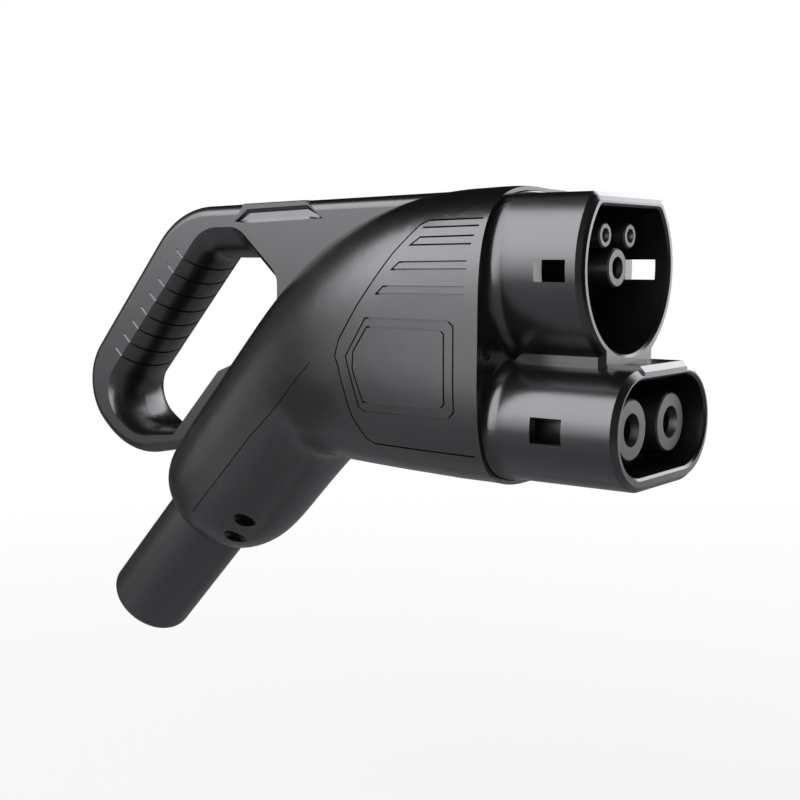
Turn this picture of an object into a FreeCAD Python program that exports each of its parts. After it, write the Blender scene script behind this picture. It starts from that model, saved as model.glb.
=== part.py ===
import FreeCAD, Part
import math
import os

# Direct-current charging connector with a ring handle, in millimetres.
# X points forward out of the nose, Y to the left, Z up.
# The origin is the centre of the upper lobe, in the plane of its front rim.

# Upper lobe of the nose: a tube with a flat top
upper_radius = 32.6
upper_flat = 23.5
upper_corner = 5.0
upper_wall = 4.9
upper_flat_wall = 4.3
cavity_corner = 3.5
rim_chamfer = 2.0
mouth_chamfer = 0.8

# Lower lobe: a tube with flat top and bottom and round ends
power_drop = 50.0
cavity_half_width = 30.4
cavity_half_height = 15.1
cavity_rise = 0.7
lower_side_wall = 3.4
lower_top_wall = 3.9
lower_reach = 13.1
lower_rim_chamfer = 1.8
key_half_width = 14.9
key_rise = 1.2
key_sink = 2.4

# Web and flange that join the lobes
web_half_width = 17.3
web_sink = 2.0
collar_x = -32.5
flange_thickness = 5.0
flange_fillet = 4.0
flange_inset = 1.5

# Locking windows through both side walls of each lobe
window_front = -5.4
window_length = 11.1
upper_window_low = -4.2
upper_window_high = 2.6
lower_window_low = -54.0
lower_window_high = -45.8

# Contact carriers and their towers
carrier_floor = -30.0
carrier_clearance = 0.25
carrier_shoulder = 2.0
shoulder_thickness = 2.5
gasket_thickness = 1.0
gasket_margin = 3.2
bridge_half_width = 15.0
retainer_thickness = 4.0
retainer_half_width = 29.0
retainer_low = -40.0
retainer_high = -20.0
power_tower_face = 8.2
power_tower_radius = 9.78
power_half_spacing = 13.56
power_mouth_radius = 5.3
signal_tower_face = -4.9
earth_tower_radius = 6.28
earth_mouth_radius = 3.6
signal_tower_radius = 4.07
signal_mouth_radius = 2.3
signal_half_spacing = 8.3
signal_height = 10.25
tower_edge = 0.5
rib_pitch = 2.0
rib_thickness = 0.9
rib_count = 8
rib_depth = 26.0

# Contacts: a socket in front, a collar, and a crimp barrel behind
power_bore = 4.0
power_socket_radius = 6.4
power_lip = 2.6
power_barrel_radius = 7.2
power_barrel_end = -80.0
earth_bore = 3.0
earth_socket_radius = 4.4
earth_lip = 2.0
earth_barrel_radius = 4.6
earth_barrel_end = -68.0
signal_bore = 1.5
signal_socket_radius = 2.5
signal_lip = 1.5
signal_barrel_radius = 2.4
signal_barrel_end = -60.0
contact_clearance = 0.1
lip_clearance = 0.6
collar_width = 1.4
collar_thickness = 2.0
crimp_wall = 1.2
crimp_depth = 17.0
socket_depth = 28.0
slit_width = 0.4
slit_length = 16.0
barrel_clearance = 0.3
seal_front = -35.0
seal_width = 1.8
seal_depth = 1.0
seal_clearance = 0.05

# Body shells; the body's half width is what it stands out beyond the lower lobe
shell_wall = 3.0
rim_wall = 1.2
body_overhang = 5.4
decor_width = 0.55
decor_depth = 1.1
grip_line_width = 0.35

# Grip axis: it leaves the body downwards and to the rear
grip_end_x = -186.5
grip_end_z = -100.0
grip_slope = 46.7

# Ring handle
handle_half_width = 15.5
handle_edge = 4.0
top_bulge = 11.7
rear_bulge = 7.2
brace_bulge = 6.0
corner_bulge = 1.9
bottom_bulge = 3.0
rib_groove_count = 8
rib_groove_pitch = 7.87
rib_groove_start = 16.0
rib_groove_reach = 4.8
rib_groove_width = 0.85
rib_groove_depth = 0.8
peg_radius = 1.5
peg_length = 3.5
peg_boss = 3.6

# Cable entry, in stations up the grip axis from the end of the grip
sleeve_length = 60.3
sleeve_radius = 17.5
cable_radius = 13.5
cable_clearance = 0.3
sleeve_edge = 2.8
sleeve_inside = 30.0
sleeve_ring_start = 5.0
sleeve_ring_length = 4.0
sleeve_ring_radius = 19.5
sleeve_clearance = 0.2
grip_floor = 14.0
seal_length = 7.0
seal_ring_radius = 17.8
web_length = 3.5
clamp_length = 16.0
clamp_radius = 20.0
clamp_ear_reach = 23.0
clamp_ear_half = 6.0
clamp_gap = 1.6
clamp_screw_offset = 18.0
clamp_screw_length = 11.0

# Fasteners
nose_screw_edge = 5.7
nose_screw_z = -26.4
small_shank = 1.4
small_head = 2.5
small_head_height = 1.6
nose_screw_seat = 2.0
nose_screw_length = 13.0
nose_boss = 3.2
nose_boss_length = 10.5
ear_screw_y = 33.0
ear_screw_z = -8.0
gap_screw_y = 26.3
gap_screw_z = -30.2
pillar_radius = 2.4
retainer_screw_length = 11.0
board_screw_length = 4.0
shell_screw_stations = (14.0, 24.5)
shell_screw_offset = 22.4
shell_shank = 1.5
shell_head = 2.5
shell_head_height = 3.0
shell_recess = 2.85
shell_head_seat = 9.0
shell_screw_length = 17.0
boss_wall = 1.6
thread_clearance = 0.1
head_clearance = 0.2
hex_share = 0.5
hex_depth_share = 0.6

# Sensor board behind the retainer
board_thickness = 1.6
board_half_width = 22.0
board_low = -36.0
board_high = -12.0
post_height = 3.0
post_radius = 3.0
post_spread = 17.0
sensor_x = -58.0
sensor_half = 3.5
sensor_height = 3.0
sensor_grip = 3.0
resistor_radius = 1.4
resistor_half_length = 3.2
lead_radius = 0.35
lead_reach = 1.5

# How far a cutting shape stands out of the face that it cuts
tool_margin = 1.0

# Handle cap, the bevel under its side flaps and the hollow below that bevel
cap_sink = 1.8
cap_edge = 0.3
cap_clearance = 0.05
cap_edge_height = 23.0
brow_half_height = 0.75
brow_depth = 1.2
scoop_height = 3.7
scoop_depth = 1.0

lower_half_width = cavity_half_width + lower_side_wall
lower_half_height = cavity_half_height + lower_top_wall
body_half_width = lower_half_width + body_overhang
tool_reach = body_half_width + shell_wall
nose_screw_y = body_half_width - nose_screw_edge
lower_centre = -power_drop
cavity_centre = -power_drop + cavity_rise
flange_back = collar_x - flange_thickness
shoulder_front = flange_back - gasket_thickness
shoulder_back = shoulder_front - shoulder_thickness
retainer_back = shoulder_back - retainer_thickness
board_front = retainer_back - post_height
board_back = board_front - board_thickness
board_middle = (board_low + board_high) / 2
upper_bore = upper_radius - upper_wall
upper_bore_flat = upper_flat - upper_flat_wall
cable_bore = cable_radius + cable_clearance
seal_end = sleeve_inside + seal_length
clamp_end = seal_end + clamp_length
slope = math.radians(grip_slope)
along = FreeCAD.Vector(math.cos(slope), 0, math.sin(slope))
across = FreeCAD.Vector(math.sin(slope), 0, -math.cos(slope))
side = FreeCAD.Vector(0, 1, 0)
forward = FreeCAD.Vector(1, 0, 0)
grip_end = FreeCAD.Vector(grip_end_x, 0, grip_end_z)


def vec(x, y, z):
    return FreeCAD.Vector(x, y, z)


def tube(radius, x_front, x_back, y=0.0, z=0.0):
    """Round bar along X between two planes."""
    return Part.makeCylinder(radius, x_front - x_back, vec(x_back, y, z), forward)


def block(x_low, x_high, y_low, y_high, z_low, z_high):
    return Part.makeBox(x_high - x_low, y_high - y_low, z_high - z_low, vec(x_low, y_low, z_low))


def grip_point(station, offset=0.0, y=0.0):
    """Point at a distance up the grip axis from its end, and across it."""
    return grip_end + along * station + across * offset + side * y


def grip_bar(radius, start, end):
    """Round bar on the grip axis between two stations."""
    return Part.makeCylinder(radius, end - start, grip_point(start), along)


def rounded_wire(corners, radii, place):
    """Closed wire of straight runs and tangent arcs; place maps a flat point to space."""
    count = len(corners)
    stops = []
    for index in range(count):
        before = corners[index - 1]
        here = corners[index]
        after = corners[(index + 1) % count]
        back = (before[0] - here[0], before[1] - here[1])
        ahead = (after[0] - here[0], after[1] - here[1])
        back_length = math.hypot(*back)
        ahead_length = math.hypot(*ahead)
        back = (back[0] / back_length, back[1] / back_length)
        ahead = (ahead[0] / ahead_length, ahead[1] / ahead_length)
        half = math.acos(max(-1.0, min(1.0, back[0] * ahead[0] + back[1] * ahead[1]))) / 2
        reach = radii[index] / math.tan(half)
        middle = (back[0] + ahead[0], back[1] + ahead[1])
        middle_length = math.hypot(*middle)
        drop = radii[index] / math.sin(half) - radii[index]
        start = (here[0] + back[0] * reach, here[1] + back[1] * reach)
        crown = (here[0] + middle[0] / middle_length * drop, here[1] + middle[1] / middle_length * drop)
        stop = (here[0] + ahead[0] * reach, here[1] + ahead[1] * reach)
        stops.append((start, crown, stop))
    edges = []
    for index in range(count):
        start, crown, stop = stops[index]
        edges.append(Part.Arc(place(start), place(crown), place(stop)).toShape())
        following = stops[(index + 1) % count][0]
        edges.append(Part.LineSegment(place(stop), place(following)).toShape())
    return Part.Wire(edges)


def moved_corners(corners, offsets):
    """Corners of the outline once side k, from corner k to the next, has moved inward."""
    count = len(corners)
    turn = sum(corners[k][0] * corners[(k + 1) % count][1] - corners[(k + 1) % count][0] * corners[k][1]
               for k in range(count))
    sense = 1.0 if turn > 0 else -1.0
    lines = []
    for index in range(count):
        here = corners[index]
        after = corners[(index + 1) % count]
        run = (after[0] - here[0], after[1] - here[1])
        length = math.hypot(*run)
        normal = (-run[1] / length * sense, run[0] / length * sense)
        origin = (here[0] + normal[0] * offsets[index], here[1] + normal[1] * offsets[index])
        lines.append((origin, (run[0] / length, run[1] / length)))
    result = []
    for index in range(count):
        (ax, az), (au, av) = lines[index - 1]
        (bx, bz), (bu, bv) = lines[index]
        cross = au * bv - av * bu
        step = ((bx - ax) * bv - (bz - az) * bu) / cross
        result.append((ax + au * step, az + av * step))
    return result


def side_prism(corners, radii, half_width):
    """Plate of a side-view outline, symmetric about the middle plane."""
    wire = rounded_wire(corners, radii, lambda p: vec(p[0], -half_width, p[1]))
    return Part.Face(wire).extrude(vec(0, 2 * half_width, 0))


def flat_topped_bar(radius, flat, corner, x_front, x_back):
    """Round bar along X with its top planed to a flat and the two corners rounded."""
    half = math.sqrt(radius * radius - flat * flat)
    bar = tube(radius, x_front, x_back)
    bar = bar.cut(block(x_back - 1, x_front + 1, -radius, radius, flat, radius + 1))
    corner_edges = []
    for edge in bar.Edges:
        middle = edge.valueAt((edge.FirstParameter + edge.LastParameter) / 2)
        lengthwise = abs(edge.Length - (x_front - x_back)) < 0.01
        if lengthwise and abs(middle.z - flat) < 0.01 and abs(abs(middle.y) - half) < 0.01:
            corner_edges.append(edge)
    return bar.makeFillet(corner, corner_edges)


def slot_bar(half_width, half_height, centre, x_front, x_back):
    """Bar along X with flat top and bottom and round ends."""
    reach = half_width - half_height
    low = centre - half_height
    high = centre + half_height
    edges = [
        Part.LineSegment(vec(x_back, -reach, high), vec(x_back, reach, high)).toShape(),
        Part.Arc(vec(x_back, reach, high), vec(x_back, half_width, centre), vec(x_back, reach, low)).toShape(),
        Part.LineSegment(vec(x_back, reach, low), vec(x_back, -reach, low)).toShape(),
        Part.Arc(vec(x_back, -reach, low), vec(x_back, -half_width, centre), vec(x_back, -reach, high)).toShape(),
    ]
    return Part.Face(Part.Wire(edges)).extrude(vec(x_front - x_back, 0, 0))


def front_edges(shape, x_plane):
    """Edges that lie wholly in a plane of constant X."""
    found = []
    for edge in shape.Edges:
        box = edge.BoundBox
        if abs(box.XMin - x_plane) < 0.01 and abs(box.XMax - x_plane) < 0.01:
            found.append(edge)
    return found


# Guide sections from the collar to the grip end: lower point, upper point, half width,
# and how square the lower and the upper half are
body_sections = [
    ((collar_x, -71.0), (collar_x, 26.1), body_half_width, 4.4, 3.5),
    ((-46.0, -70.9), (-44.0, 26.4), body_half_width + 0.2, 4.3, 3.4),
    ((-66.0, -70.6), (-62.0, 26.0), body_half_width + 0.2, 4.0, 3.2),
    ((-88.0, -70.2), (-84.0, 21.6), body_half_width - 0.8, 3.6, 3.0),
    ((-105.0, -70.0), (-104.0, 14.0), body_half_width - 3.4, 3.2, 2.8),
    ((-117.0, -70.0), (-121.0, 5.0), body_half_width - 7.0, 2.8, 2.6),
]
grip_sections = [
    (65.0, 95.0, 28.2, 27.6, 29.6, 2.6, 2.5),
    (53.0, 71.0, 27.9, 27.4, 28.2, 2.5, 2.5),
    (37.0, 45.0, 27.8, 27.4, 27.5, 2.5, 2.5),
    (20.0, 20.0, 28.1, 27.1, 27.4, 2.4, 2.4),
    (9.0, 9.0, 26.8, 26.3, 26.6, 2.2, 2.3),
    (2.5, 2.5, 22.8, 23.4, 23.2, 2.0, 2.1),
    (0.0, 0.0, 18.9, 19.4, 19.2, 2.0, 2.0),
]
section_points = 20
section_steps = 26


def guide(poles):
    """Smooth curve drawn by the guide sections' values."""
    curve = Part.BSplineCurve()
    curve.buildFromPoles(poles, False, 3)
    return curve


def section_list():
    """Sections along the body as lower point, upper point, half width and two exponents."""
    lows = [vec(low[0], 0, low[1]) for low, high, width, low_power, high_power in body_sections]
    highs = [vec(high[0], 0, high[1]) for low, high, width, low_power, high_power in body_sections]
    shapes = [vec(width, low_power, high_power) for low, high, width, low_power, high_power in body_sections]
    for low_station, high_station, low_reach, high_reach, width, low_power, high_power in grip_sections:
        lows.append(grip_point(low_station, low_reach))
        highs.append(grip_point(high_station, -high_reach))
        shapes.append(vec(width, low_power, high_power))
    low_guide = guide(lows)
    high_guide = guide(highs)
    shape_guide = guide(shapes)
    sections = []
    for step in range(section_steps + 1):
        place = step / section_steps
        shape = shape_guide.value(place)
        sections.append((low_guide.value(place), high_guide.value(place), shape.x, shape.y, shape.z))
    return sections


def section_wire(section, inset):
    """Rounded section between its lower and upper point, drawn in by the inset."""
    low_point, high_point, half_width, low_power, high_power = section
    centre = (low_point + high_point) * 0.5
    rise = high_point - centre
    reach = rise.Length - inset
    up = rise / rise.Length
    points = []
    for index in range(section_points):
        angle = 2 * math.pi * index / section_points + math.pi / 2
        power = high_power if math.sin(angle) >= 0 else low_power
        lift = math.copysign(abs(math.sin(angle)) ** (2 / power), math.sin(angle))
        spread = math.copysign(abs(math.cos(angle)) ** (2 / power), math.cos(angle))
        points.append(centre + up * (reach * lift) + side * ((half_width - inset) * spread))
    curve = Part.BSplineCurve()
    curve.interpolate(Points=points, PeriodicFlag=True)
    return Part.Wire([curve.toShape()])


def body_loft(inset):
    """Barrel and grip as one smooth form, drawn in by the inset."""
    return Part.makeLoft([section_wire(section, inset) for section in section_list()], True, False)


# Ring handle outlines in side view, at the flat side faces
handle_corners = [(-62.0, 25.2), (-192.3, 22.5), (-257.4, -51.5), (-223.7, -79.6),
                  (-178.0, -71.3), (-110.0, -12.0), (-62.0, 2.0)]
handle_radii = [0.5, 38.0, 23.7, 36.0, 2.0, 10.0, 10.0]
hole_corners = [(-177.5, 14.7), (-242.5, -55.3), (-218.4, -70.7), (-195.6, -68.1), (-169.5, -40.9),
                (-160.2, -37.4), (-138.2, -17.0), (-138.2, -3.0), (-158.0, 14.7)]
hole_radii = [18.0, 14.5, 19.5, 1.5, 3.0, 2.0, 3.0, 8.0, 12.0]
crown_radii = [7.5, 11.0, 12.8, 1.5, 3.0, 2.0, 2.0, 4.0, 3.0]
# The bar's outer edges are rounded behind these places
handle_root_x = -185.0
brace_end_x = -70.0
brace_end_z = 20.0
hole_bulges = [rear_bulge, corner_bulge, bottom_bulge, 0.0, 0.0, 0.0, 0.0, brace_bulge, top_bulge]
bulge_stations = (-1.0, -0.9, -0.7, -0.4, 0.0, 0.4, 0.7, 0.9, 1.0)


# How high the arc of the bar's inner wall rises over half its width
arc_rise = 0.73


def bulge_share(station):
    """Share of the full bulge at a place across the bar, on a round arc."""
    arc = (1 + arc_rise ** 2) / (2 * arc_rise)
    return (math.sqrt(arc * arc - station * station) - math.sqrt(arc * arc - 1)) / arc_rise


def handle_hole(grow, half_width):
    """Finger opening whose wall swells inward to a rounded bar between the side faces."""
    wires = []
    for station in bulge_stations:
        share = bulge_share(station)
        offsets = [bulge * share - grow for bulge in hole_bulges]
        corners = moved_corners(hole_corners, offsets)
        radii = [wide + (crown - wide) * share + grow for wide, crown in zip(hole_radii, crown_radii)]
        wires.append(rounded_wire(corners, radii, lambda p, y=station * half_width: vec(p[0], y, p[1])))
    return Part.makeLoft(wires, True, False)


def plate_blank(grow, widen, rounded=True):
    """Ring handle without its opening, its rim and its two sides moved outwards."""
    corners = moved_corners(handle_corners, [-grow] * len(handle_corners))
    radii = [max(0.3, radius + grow) for radius in handle_radii]
    half_width = handle_half_width + widen
    plate = side_prism(corners, radii, half_width)
    if not rounded:
        return plate
    outer = []
    for edge in plate.Edges:
        box = edge.BoundBox
        on_side = abs(abs(box.YMin) - half_width) < 0.01 and abs(box.YMax - box.YMin) < 0.01
        middle = edge.valueAt((edge.FirstParameter + edge.LastParameter) / 2)
        outside = middle.x < handle_root_x or (middle.x < brace_end_x and middle.z > brace_end_z)
        if on_side and outside:
            outer.append(edge)
    return plate.makeFillet(handle_edge + grow, outer)


def flat_prism(points, y_low, y_high):
    """Prism of a straight-sided side-view outline between two planes of constant Y."""
    corners = [vec(x, y_low, z) for x, z in points]
    face = Part.Face(Part.makePolygon(corners + [corners[0]]))
    return face.extrude(vec(0, y_high - y_low, 0))


def both_sides(cutter):
    return [cutter, cutter.mirror(vec(0, 0, 0), side)]


def rib_grooves():
    """Sloped nicks in both side faces of the rear bar that run on as slots round its inner wall."""
    start = hole_corners[0]
    stop = hole_corners[1]
    length = math.hypot(stop[0] - start[0], stop[1] - start[1])
    run = vec((stop[0] - start[0]) / length, 0, (stop[1] - start[1]) / length)
    inward = vec(-run.z, 0, run.x)
    core = plate_blank(0.0, 0.0).cut(handle_hole(rib_groove_depth, handle_half_width))
    face = -handle_half_width
    cutters = []
    for index in range(rib_groove_count):
        centre = vec(start[0], 0, start[1]) + run * (rib_groove_start + rib_groove_pitch * index)
        upper = centre - run * (rib_groove_width / 2)
        lower = centre + run * (rib_groove_width / 2)
        across_bar = rear_bulge + rib_groove_reach
        slot = Part.makePolygon([upper + side * face, lower + side * face, lower - side * face,
                                 upper - side * face, upper + side * face])
        cutters.append(Part.Face(slot).extrude(inward * across_bar).cut(core))
        nick = [upper + side * (face - tool_margin), upper + side * (face + rib_groove_depth),
                lower + side * face, lower + side * (face - tool_margin)]
        nick = [corner - inward * rib_groove_reach for corner in nick]
        cutters += both_sides(Part.Face(Part.makePolygon(nick + nick[:1])).extrude(inward * rib_groove_reach))
    return cutters


# Engraved lines in side view
panel_line = [(-34.3, 15.5), (-55.3, 15.1), (-58.5, 13.8), (-67.3, 4.7), (-81.8, -13.2), (-89.8, -24.4),
              (-91.7, -30.0), (-90.3, -32.8), (-84.8, -50.0), (-79.9, -57.6), (-76.4, -59.2), (-35.2, -59.8)]
step_line = [(-35.0, 13.2), (-57.1, 12.8)]
slot_lines = [
    [(-36.0, 10.1), (-57.1, 9.7), (-60.6, 7.2), (-36.5, 7.5)],
    [(-37.3, 2.1), (-64.1, 1.7), (-67.0, -0.7), (-37.2, -0.4)],
    [(-37.4, -6.0), (-70.1, -6.2), (-73.0, -8.7), (-37.4, -8.4)],
]
badge_outer = [(-77.6, -16.8), (-43.7, -16.7), (-41.6, -18.4), (-41.4, -45.7),
               (-43.7, -48.0), (-79.3, -47.9), (-80.9, -46.6), (-86.5, -29.9)]
badge_inner = [(-76.9, -19.7), (-46.5, -19.8), (-45.2, -21.0), (-45.0, -43.4),
               (-46.6, -44.9), (-78.9, -44.9), (-83.3, -34.0), (-83.0, -28.2)]
grip_line = [(-173.5, -95.4), (-141.3, -63.0), (-116.4, -42.5), (-104.8, -33.1)]


def shifted_line(points, offset, closed):
    """The same run of points moved sideways, its corners mitred."""
    count = len(points)
    result = []
    for index in range(count):
        normals = []
        if closed or index > 0:
            normals.append((points[index - 1], points[index]))
        if closed or index < count - 1:
            normals.append((points[index], points[(index + 1) % count]))
        total = [0.0, 0.0]
        for start, stop in normals:
            length = math.hypot(stop[0] - start[0], stop[1] - start[1])
            total[0] -= (stop[1] - start[1]) / length
            total[1] += (stop[0] - start[0]) / length
        size = math.hypot(*total)
        mitre = offset * len(normals) / (size * size)
        result.append((points[index][0] + total[0] * mitre, points[index][1] + total[1] * mitre))
    return result


def engraving(points, closed, width=decor_width):
    """Narrow strip that follows a line in side view, deep enough to reach past the right side."""
    one_side = shifted_line(points, width / 2, closed)
    other_side = shifted_line(points, -width / 2, closed)
    if closed:
        wide = flat_prism(one_side, -tool_reach, -tool_reach / 3)
        narrow = flat_prism(other_side, -tool_reach, -tool_reach / 3)
        if wide.Volume < narrow.Volume:
            wide, narrow = narrow, wide
        return wide.cut(narrow)
    return flat_prism(one_side + other_side[::-1], -tool_reach, -tool_reach / 3)


def hex_prism(across_flats, base, direction, depth):
    """Six-sided prism that starts at a point and runs along a direction."""
    reach = across_flats / math.sqrt(3)
    corners = []
    for index in range(7):
        angle = math.pi / 3 * index
        corners.append(vec(reach * math.cos(angle), reach * math.sin(angle), 0))
    prism = Part.Face(Part.makePolygon(corners)).extrude(vec(0, 0, depth))
    prism.Placement = FreeCAD.Placement(base, FreeCAD.Rotation(vec(0, 0, 1), direction))
    return prism


def screw(seat, direction, shank, head, head_height, length):
    """Cylinder-head screw with a hexagon socket; direction points to its tip."""
    shape = Part.makeCylinder(shank, length, seat, direction)
    top = seat - direction * head_height
    shape = shape.fuse(Part.makeCylinder(head, head_height, top, direction))
    return shape.cut(hex_prism(head * 2 * hex_share, top, direction, head_height * hex_depth_share))


retainer_screw_places = [(sign * ear_screw_y, ear_screw_z) for sign in (-1, 1)]
retainer_screw_places += [(sign * gap_screw_y, gap_screw_z) for sign in (-1, 1)]


def rooted_lobe(bar):
    """Lobe with a smooth root where it grows out of the flange."""
    reach = 2 * lower_half_width
    plate = block(flange_back, collar_x, -reach, reach, -2 * reach, reach)
    shape = bar.fuse(plate).removeSplitter()
    roots = [edge for edge in front_edges(shape, collar_x) if edge.BoundBox.YMax < reach - 1
             and edge.BoundBox.YMin > 1 - reach and edge.BoundBox.ZMin > 1 - 2 * reach]
    return shape.makeFillet(flange_fillet, roots)


def nose_shroud():
    """Both lobes, the web between them and the flange behind, moulded as one."""
    room = 2 * tool_reach
    upper = flat_topped_bar(upper_radius, upper_flat, upper_corner, 0.0, flange_back)
    web_low = lower_centre + lower_half_height - web_sink
    web = block(flange_back, 0.0, -web_half_width, web_half_width, web_low, -upper_radius / 2)
    upper_rooted = rooted_lobe(upper)
    upper = upper.fuse(web).removeSplitter()
    edges = [edge for edge in front_edges(upper, 0.0) if edge.BoundBox.ZMax > web_low + 0.1]
    upper = upper.makeChamfer(rim_chamfer, edges)
    clear_of_rim = block(flange_back, -rim_chamfer, -room, room, -2 * room, room)
    upper_rooted = upper_rooted.common(clear_of_rim)
    lower = slot_bar(lower_half_width, lower_half_height, lower_centre, lower_reach, flange_back)
    lower_rooted = rooted_lobe(lower)
    lower_rooted = lower_rooted.common(clear_of_rim)
    lower = lower.makeChamfer(lower_rim_chamfer, front_edges(lower, lower_reach))
    key_top = lower_centre + lower_half_height + key_rise
    key = block(0.0, lower_reach, -key_half_width, key_half_width, key_top - key_rise - key_sink, key_top)
    key_edges = [edge for edge in front_edges(key, lower_reach) if edge.BoundBox.ZMin > key_top - 0.1]
    key = key.makeChamfer(lower_rim_chamfer, key_edges)
    rim = section_list()[0]
    outline = Part.Face(section_wire(rim, flange_inset))
    outline.translate(vec(-flange_thickness, 0, 0))
    envelope = outline.extrude(vec(flange_thickness - collar_x, 0, 0))
    shape = upper_rooted.fuse(lower_rooted).common(envelope)
    beside_flange = block(flange_back, collar_x, -room, room, -2 * room, room).cut(envelope)
    shape = shape.fuse([upper, lower, key]).removeSplitter().cut(beside_flange)
    upper_hole = flat_topped_bar(upper_bore, upper_bore_flat, cavity_corner, 0.0, flange_back - 1)
    lower_hole = slot_bar(cavity_half_width, cavity_half_height, cavity_centre, lower_reach, flange_back - 1)
    shape = shape.cut(upper_hole).cut(lower_hole)
    mouths = []
    for edge in front_edges(shape, 0.0):
        middle = edge.valueAt((edge.FirstParameter + edge.LastParameter) / 2)
        if math.hypot(middle.y, middle.z) < upper_bore + 0.1:
            mouths.append(edge)
    for edge in front_edges(shape, lower_reach):
        middle = edge.valueAt((edge.FirstParameter + edge.LastParameter) / 2)
        if abs(middle.z - cavity_centre) < cavity_half_height + 0.1 and abs(middle.y) < cavity_half_width + 0.1:
            mouths.append(edge)
    shape = shape.makeChamfer(mouth_chamfer, mouths)
    for low, high in ((upper_window_low, upper_window_high), (lower_window_low, lower_window_high)):
        window = block(window_front - window_length, window_front, -tool_reach, tool_reach, low, high)
        shape = shape.cut(window)
    for y, z in retainer_screw_places:
        shape = shape.fuse(tube(pillar_radius, flange_back, shoulder_back, y, z))
        tip = retainer_back + retainer_screw_length
        shape = shape.cut(tube(small_shank + thread_clearance, tip + thread_clearance, shoulder_back, y, z))
    for sign in (-1, 1):
        y = sign * nose_screw_y
        seat = collar_x - nose_screw_seat
        shape = shape.cut(tube(small_head + head_clearance, collar_x + flange_fillet, seat, y, nose_screw_z))
        shape = shape.cut(tube(small_shank + thread_clearance, seat, flange_back, y, nose_screw_z))
    return shape


def tower(face, radius, mouth, throat, lip, y, z):
    """Insulating tower with a tapered mouth at its front."""
    shape = tube(radius, face, carrier_floor, y, z)
    shape = shape.makeChamfer(tower_edge, front_edges(shape, face))
    cone = Part.makeCone(throat, mouth, lip, vec(face - lip, y, z), forward)
    return shape, cone


def seated_hole(face, lip, socket_radius, barrel_radius, y, z):
    """Stepped hole that takes a contact and its collar from behind."""
    hole = tube(socket_radius + contact_clearance, face - lip, shoulder_back, y, z)
    seat = shoulder_back + collar_thickness
    collar = barrel_radius + collar_width + contact_clearance
    return hole.fuse(tube(collar, seat, shoulder_back - 1, y, z))


def signal_carrier():
    """Insulator in the upper lobe, with the earth tower and the two small towers."""
    radius = upper_bore - carrier_clearance
    flat = upper_bore_flat - carrier_clearance
    plug = flat_topped_bar(radius, flat, cavity_corner - carrier_clearance, carrier_floor, shoulder_front)
    shoulder = flat_topped_bar(upper_bore + carrier_shoulder, upper_bore_flat + carrier_shoulder,
                               cavity_corner, shoulder_front, shoulder_back)
    shape = plug.fuse(shoulder)
    places = [(earth_tower_radius, earth_mouth_radius, earth_bore, earth_lip, earth_socket_radius,
               earth_barrel_radius, 0.0, 0.0)]
    for sign in (-1, 1):
        places.append((signal_tower_radius, signal_mouth_radius, signal_bore, signal_lip,
                       signal_socket_radius, signal_barrel_radius, sign * signal_half_spacing, signal_height))
    for radius, mouth, bore, lip, socket, barrel, y, z in places:
        solid, cone = tower(signal_tower_face, radius, mouth, bore + lip_clearance / 2, lip, y, z)
        shape = shape.fuse(solid).cut(cone)
        shape = shape.cut(seated_hole(signal_tower_face, lip, socket, barrel, y, z))
    return shape


def power_carrier():
    """Insulator in the lower lobe, with the two power towers and the ribs between them."""
    plug = slot_bar(cavity_half_width - carrier_clearance, cavity_half_height - carrier_clearance,
                    cavity_centre, carrier_floor, shoulder_front)
    shoulder = slot_bar(cavity_half_width + carrier_shoulder, cavity_half_height + carrier_shoulder,
                        cavity_centre, shoulder_front, shoulder_back)
    shape = plug.fuse(shoulder)
    solids = []
    cuts = []
    for sign in (-1, 1):
        y = sign * power_half_spacing
        solid, cone = tower(power_tower_face, power_tower_radius, power_mouth_radius,
                            power_bore + lip_clearance, power_lip, y, lower_centre)
        solids.append(solid)
        cuts.append(cone)
        cuts.append(seated_hole(power_tower_face, power_lip, power_socket_radius, power_barrel_radius,
                                y, lower_centre))
    rib_reach = power_half_spacing - power_socket_radius
    for index in range(rib_count):
        middle = cavity_centre + (index - (rib_count - 1) / 2) * rib_pitch
        solids.append(block(carrier_floor - 1, carrier_floor + rib_depth, -rib_reach + 1, rib_reach - 1,
                            middle - rib_thickness / 2, middle + rib_thickness / 2))
    for solid in solids:
        shape = shape.fuse(solid)
    for tool in cuts:
        shape = shape.cut(tool)
    return shape


def contact(face, lip, socket_radius, bore, barrel_radius, x_end, y, z):
    """Turned contact: slotted socket, collar and hollow crimp barrel."""
    x_front = face - lip
    seat = shoulder_back + collar_thickness
    shape = tube(socket_radius, x_front, seat, y, z)
    shape = shape.fuse(tube(barrel_radius + collar_width, seat, shoulder_back, y, z))
    shape = shape.fuse(tube(barrel_radius, shoulder_back, x_end, y, z))
    shape = shape.cut(tube(bore, x_front, x_front - socket_depth, y, z))
    shape = shape.cut(tube(barrel_radius - crimp_wall, x_end + crimp_depth, x_end, y, z))
    half = slit_width / 2
    reach = socket_radius + 1
    shape = shape.cut(block(x_front - slit_length, x_front + 1, y - half, y + half, z - reach, z + reach))
    return shape.cut(block(x_front - slit_length, x_front + 1, y - reach, y + reach, z - half, z + half))


def power_contact(y):
    shape = contact(power_tower_face, power_lip, power_socket_radius, power_bore,
                    power_barrel_radius, power_barrel_end, y, lower_centre)
    band = tube(power_socket_radius + 1, seal_front, seal_front - seal_width, y, lower_centre)
    core = tube(power_socket_radius - seal_depth, seal_front, seal_front - seal_width, y, lower_centre)
    return shape.cut(band.cut(core))


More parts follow.
